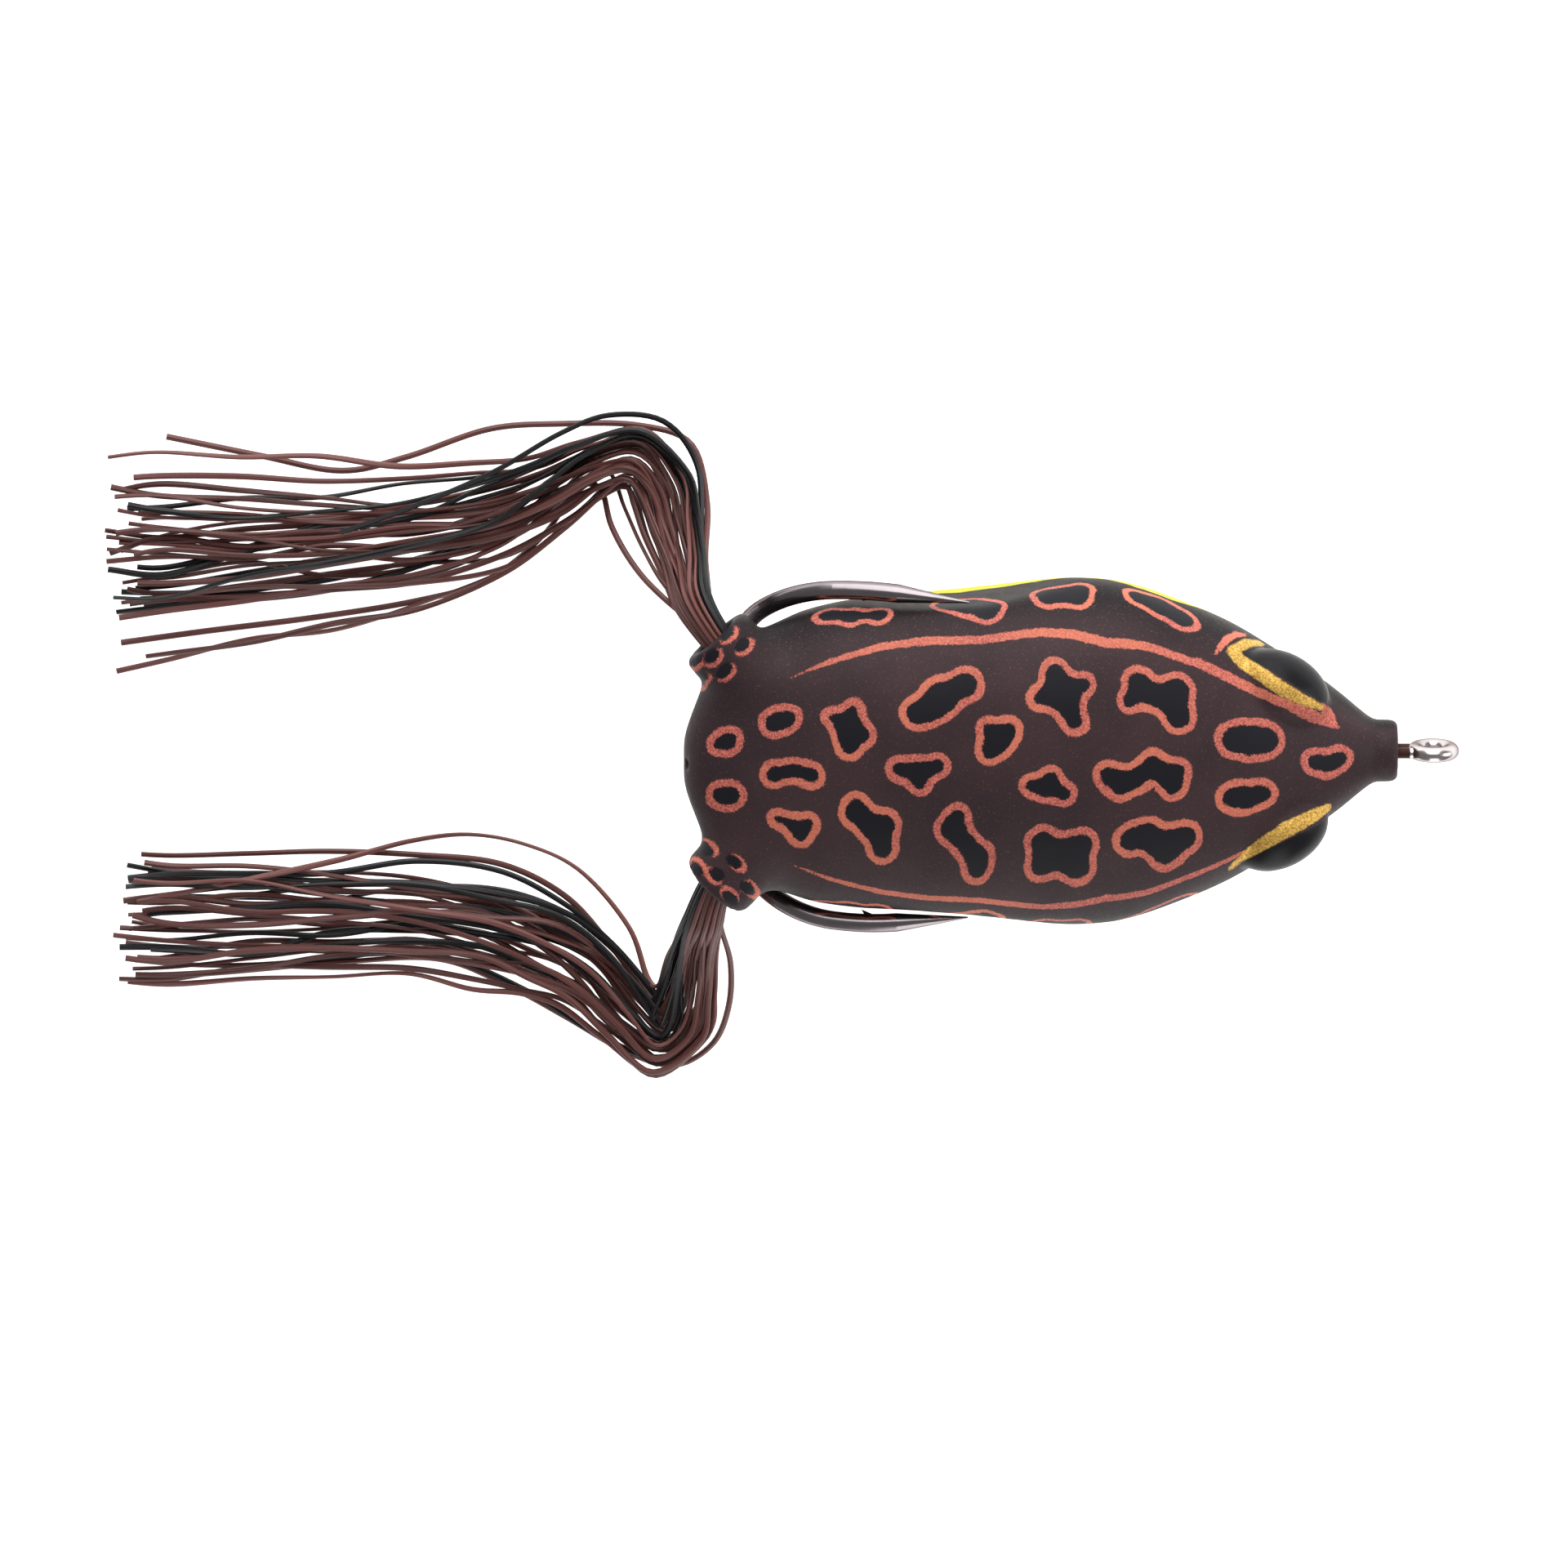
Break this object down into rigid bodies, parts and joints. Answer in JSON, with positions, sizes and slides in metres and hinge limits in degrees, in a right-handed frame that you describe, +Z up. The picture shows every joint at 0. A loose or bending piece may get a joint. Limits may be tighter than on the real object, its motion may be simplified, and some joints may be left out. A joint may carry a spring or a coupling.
{
  "type": "topwater frog lure",
  "caption": "Hollow-body topwater frog lure with a pointed nose, raised eyes, a double hook lying along the flanks, a wire line tie and trailing silicone skirt legs.",
  "frame": {"origin": "centre of the line-tie ring at the nose", "axes": "+X forward out of the nose along the body's length, +Y to the frog's left along the line-tie ring's hole, +Z up out of the back"},
  "size_m": [0.1225, 0.0581, 0.0203],
  "materials": {
    "body_skin": "matte",
    "sleeve": "matte",
    "bright_wire": "polished",
    "hook_wire": "polished",
    "solder": "satin",
    "keel_weight": "matte",
    "brown_strand": "satin",
    "black_strand": "satin"
  },
  "bodies": {
    "lure_body": {"body_shell": "body_skin", "nose_sleeve": "sleeve", "left_skirt_band": "sleeve", "left_skirt_root": "brown_strand", "right_skirt_band": "sleeve", "right_skirt_root": "brown_strand"},
    "line_tie": {"line_tie_wire": "bright_wire"},
    "hook": {"double_hook": "hook_wire", "shank_solder": "solder", "keel_weight": "keel_weight"},
    "left_thigh": {"left_thigh_brown": "brown_strand", "left_thigh_black": "black_strand"},
    "left_shin": {"left_shin_brown": "brown_strand", "left_shin_black": "black_strand"},
    "right_thigh": {"right_thigh_brown": "brown_strand", "right_thigh_black": "black_strand"},
    "right_shin": {"right_shin_brown": "brown_strand", "right_shin_black": "black_strand"}
  },
  "joints": [
    {"name": "line_tie_twist", "type": "hinge", "parent": "lure_body", "child": "line_tie", "pos_m": [-0.0045, 0, 0], "axis": [1, 0, 0], "range_deg": [-15, 15]},
    {"name": "hook_swing", "type": "hinge", "parent": "lure_body", "child": "hook", "pos_m": [-0.0085, 0, 0], "axis": [0, -1, 0], "range_deg": [0, 6], "stiffness_Nm_per_rad": 0.08, "springref_deg": -4.58},
    {"name": "left_hip", "type": "hinge", "parent": "lure_body", "child": "left_thigh", "pos_m": [-0.06593, 0.01235, 0.00394], "axis": [0, 0, 1], "range_deg": [-10, 10], "stiffness_Nm_per_rad": 0.0004},
    {"name": "left_knee", "type": "hinge", "parent": "left_thigh", "child": "left_shin", "pos_m": [-0.0716, 0.0254, -0.0056], "axis": [0, 0, -1], "range_deg": [-5, 20], "stiffness_Nm_per_rad": 0.0004},
    {"name": "right_hip", "type": "hinge", "parent": "lure_body", "child": "right_thigh", "pos_m": [-0.06593, -0.01235, 0.00394], "axis": [0, 0, -1], "range_deg": [-10, 10], "stiffness_Nm_per_rad": 0.0004},
    {"name": "right_knee", "type": "hinge", "parent": "right_thigh", "child": "right_shin", "pos_m": [-0.0703, -0.029, -0.0058], "axis": [0, 0, 1], "range_deg": [-5, 20], "stiffness_Nm_per_rad": 0.0004}
  ]
}
